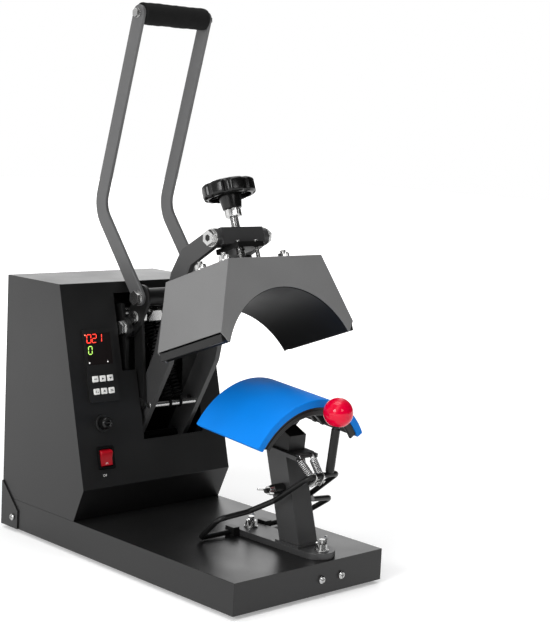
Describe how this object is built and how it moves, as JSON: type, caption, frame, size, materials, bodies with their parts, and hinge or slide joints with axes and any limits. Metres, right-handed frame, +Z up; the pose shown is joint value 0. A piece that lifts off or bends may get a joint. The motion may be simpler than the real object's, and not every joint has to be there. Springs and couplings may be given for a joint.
{
  "type": "cap heat press",
  "caption": "Benchtop heat press for caps: a curved heater on a lever-driven arm closes on a curved padded platen on a post.",
  "frame": {"origin": "middle of the whole outline, on the floor under the rubber feet", "axes": "+X to the operator's right, +Y to the rear, +Z up"},
  "size_m": [0.2788, 0.4912, 0.721],
  "materials": {
    "painted_shell": "fine-textured charcoal paint",
    "bare_plate": "matt grey",
    "rubber": "matt",
    "zinc": "bright zinc",
    "dark_steel": "blackened",
    "painted_frame": "fine-textured charcoal paint",
    "painted_bars": "satin grey paint",
    "black_metal": "satin black",
    "shroud": "satin grey",
    "arch": "dark non-stick coat",
    "wool": "white ceramic wool",
    "pad_blue": "matt blue silicone",
    "foam": "closed-cell foam",
    "black_plastic": "moulded",
    "ball_red": "polished",
    "controller_plastic": "fine spark texture",
    "display": "dark tinted window",
    "key_grey": "matt",
    "rocker_red": "moulded",
    "relay_white": "moulded"
  },
  "bodies": {
    "base": {"base_tray": "painted_shell", "bottom_plate": "bare_plate", "rubber_feet": "rubber", "housing_shell": "painted_shell", "back_cover": "painted_shell", "case_screws": "zinc", "frame_plates": "black_metal", "frame_tie_rods": "zinc", "pivot_shaft": "dark_steel", "handle_pivot_bolts": "zinc", "foot_bar": "painted_frame", "foot_studs": "zinc", "hinge_lugs": "black_metal", "post": "painted_frame", "post_clamp_boss": "black_metal", "platen_bracket": "black_metal", "platen_plate": "black_metal", "platen_pad": "pad_blue", "controller_case": "controller_plastic", "display_window": "display", "fuse_holder": "controller_plastic", "switch_bezel": "black_plastic", "power_inlet": "black_plastic", "solid_state_relay": "relay_white", "return_springs": "dark_steel", "bail_springs": "zinc"},
    "arm": {"arm_plate_left": "painted_frame", "arm_plate_right": "painted_frame", "arm_crossbar": "painted_frame", "arm_bolts": "zinc", "guide_block": "black_metal"},
    "heater": {"heater_shroud": "shroud", "heater_arch": "arch", "heater_insulation": "wool", "heater_rails": "black_metal", "heater_bracket": "black_metal", "guide_studs": "zinc"},
    "knob": {"pressure_knob": "black_plastic", "pressure_screw": "zinc"},
    "handle": {"handle_bar_left": "painted_bars", "handle_bar_right": "painted_bars", "crank_plates": "black_metal", "handle_grip": "foam", "handle_bolts": "zinc"},
    "links": {"link_bars": "black_metal"},
    "bail": {"cap_bail": "black_metal", "bail_lever": "black_metal", "lever_ball": "ball_red", "bail_bolt": "zinc"},
    "rocker": {"switch_rocker": "rocker_red"},
    "fuse_top": {"fuse_cap": "controller_plastic"},
    "front_nut": {"front_wing_nut": "zinc"},
    "rear_nut": {"rear_wing_nut": "zinc"},
    "post_nut": {"post_wing_nut": "zinc"},
    "button_1": {"key_1": "key_grey"},
    "button_2": {"key_2": "key_grey"},
    "button_3": {"key_3": "key_grey"},
    "button_4": {"key_4": "key_grey"},
    "button_5": {"key_5": "key_grey"},
    "button_6": {"key_6": "key_grey"}
  },
  "joints": [
    {"name": "handle_swing", "type": "hinge", "parent": "base", "child": "handle", "pos_m": [0.02544, 0.107, 0.29], "axis": [1, 0, 0], "range_deg": [0, 72]},
    {"name": "arm_swing", "type": "hinge", "parent": "base", "child": "arm", "pos_m": [0.02544, 0.114, 0.134], "axis": [1, 0, 0], "range_deg": [0, 25], "stiffness_Nm_per_rad": 20, "springref_deg": -40.11, "deforming": ["return_springs"]},
    {"name": "link_pivot", "type": "hinge", "parent": "handle", "child": "links", "pos_m": [0.02544, 0.097, 0.305], "axis": [1, 0, 0], "range_deg": [-80, 0]},
    {"name": "heater_slide", "type": "slide", "parent": "arm", "child": "heater", "axis": [0, -0.342, -0.9397], "range_m": [0, 0.0035]},
    {"name": "knob_turn", "type": "hinge", "parent": "heater", "child": "knob", "pos_m": [0.02544, -0.02264, 0.47719], "axis": [0, 0.342, 0.9397], "range_deg": [-720, 0]},
    {"name": "bail_tilt", "type": "hinge", "parent": "base", "child": "bail", "pos_m": [0.02544, -0.087, 0.05], "axis": [1, 0, 0], "range_deg": [0, 20], "stiffness_Nm_per_rad": 2, "springref_deg": -22.92, "deforming": ["bail_springs"]},
    {"name": "rocker_tip", "type": "hinge", "parent": "base", "child": "rocker", "pos_m": [-0.09356, 0.06925, 0.12607], "axis": [1, 0, 0], "range_deg": [-24, 0]},
    {"name": "fuse_cap_turn", "type": "hinge", "parent": "base", "child": "fuse_top", "pos_m": [-0.09356, 0.0764, 0.17068], "axis": [0, -0.9695, 0.2452], "range_deg": [0, 90]},
    {"name": "front_nut_turn", "type": "hinge", "parent": "base", "child": "front_nut", "pos_m": [0.02544, -0.221, 0.055], "axis": [0, 0, 1], "range_deg": [0, 360]},
    {"name": "rear_nut_turn", "type": "hinge", "parent": "base", "child": "rear_nut", "pos_m": [0.02544, -0.092, 0.055], "axis": [0, 0, 1], "range_deg": [0, 360]},
    {"name": "post_nut_turn", "type": "hinge", "parent": "base", "child": "post_nut", "pos_m": [-0.00956, -0.164, 0.122], "axis": [-1, 0, 0], "range_deg": [0, 360]},
    {"name": "key_1_press", "type": "slide", "parent": "base", "child": "button_1", "axis": [0, 0.9695, -0.2452], "range_m": [0, 0.0008], "stiffness_N_per_m": 200, "springref_m": -0.001},
    {"name": "key_2_press", "type": "slide", "parent": "base", "child": "button_2", "axis": [0, 0.9695, -0.2452], "range_m": [0, 0.0008], "stiffness_N_per_m": 200, "springref_m": -0.001},
    {"name": "key_3_press", "type": "slide", "parent": "base", "child": "button_3", "axis": [0, 0.9695, -0.2452], "range_m": [0, 0.0008], "stiffness_N_per_m": 200, "springref_m": -0.001},
    {"name": "key_4_press", "type": "slide", "parent": "base", "child": "button_4", "axis": [0, 0.9695, -0.2452], "range_m": [0, 0.0008], "stiffness_N_per_m": 200, "springref_m": -0.001},
    {"name": "key_5_press", "type": "slide", "parent": "base", "child": "button_5", "axis": [0, 0.9695, -0.2452], "range_m": [0, 0.0008], "stiffness_N_per_m": 200, "springref_m": -0.001},
    {"name": "key_6_press", "type": "slide", "parent": "base", "child": "button_6", "axis": [0, 0.9695, -0.2452], "range_m": [0, 0.0008], "stiffness_N_per_m": 200, "springref_m": -0.001}
  ],
  "couplings": [
    {"joint": "arm_swing", "follows": "handle_swing", "ratio": 0.34722},
    {"joint": "link_pivot", "follows": "handle_swing", "ratio": -1.0951},
    {"joint": "knob_turn", "follows": "heater_slide", "rad_per_m": -3590.4}
  ]
}
